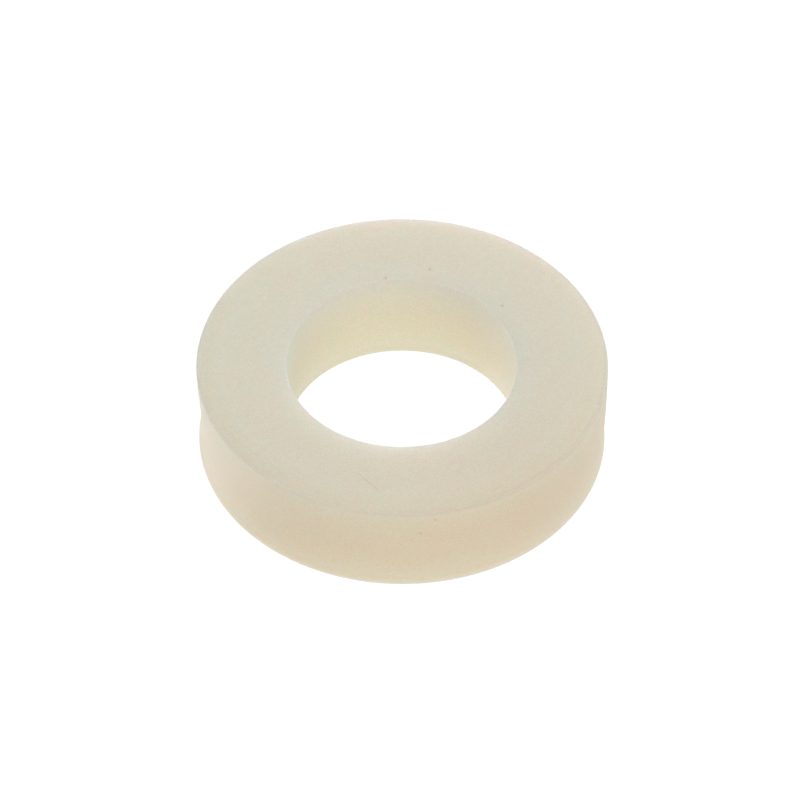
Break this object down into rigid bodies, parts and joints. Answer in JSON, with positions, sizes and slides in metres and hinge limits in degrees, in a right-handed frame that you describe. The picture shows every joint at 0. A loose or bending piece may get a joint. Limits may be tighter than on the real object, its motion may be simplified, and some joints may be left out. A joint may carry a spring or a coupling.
{
  "type": "flat washer",
  "caption": "Thick round flat washer in natural nylon, a plain ring with a straight clearance bore for a small machine screw.",
  "frame": {"origin": "centre of the lower face, on the axis of the bore", "axes": "+Z along the bore's axis, from the lower face to the upper face; X and Y lie in the lower face and are alike, because the washer is round"},
  "size_m": [0.0064, 0.0064, 0.0016],
  "materials": {
    "natural_nylon": "satin, milky and slightly see-through at the rims"
  },
  "bodies": {
    "root": {"washer": "natural_nylon"}
  },
  "joints": []
}
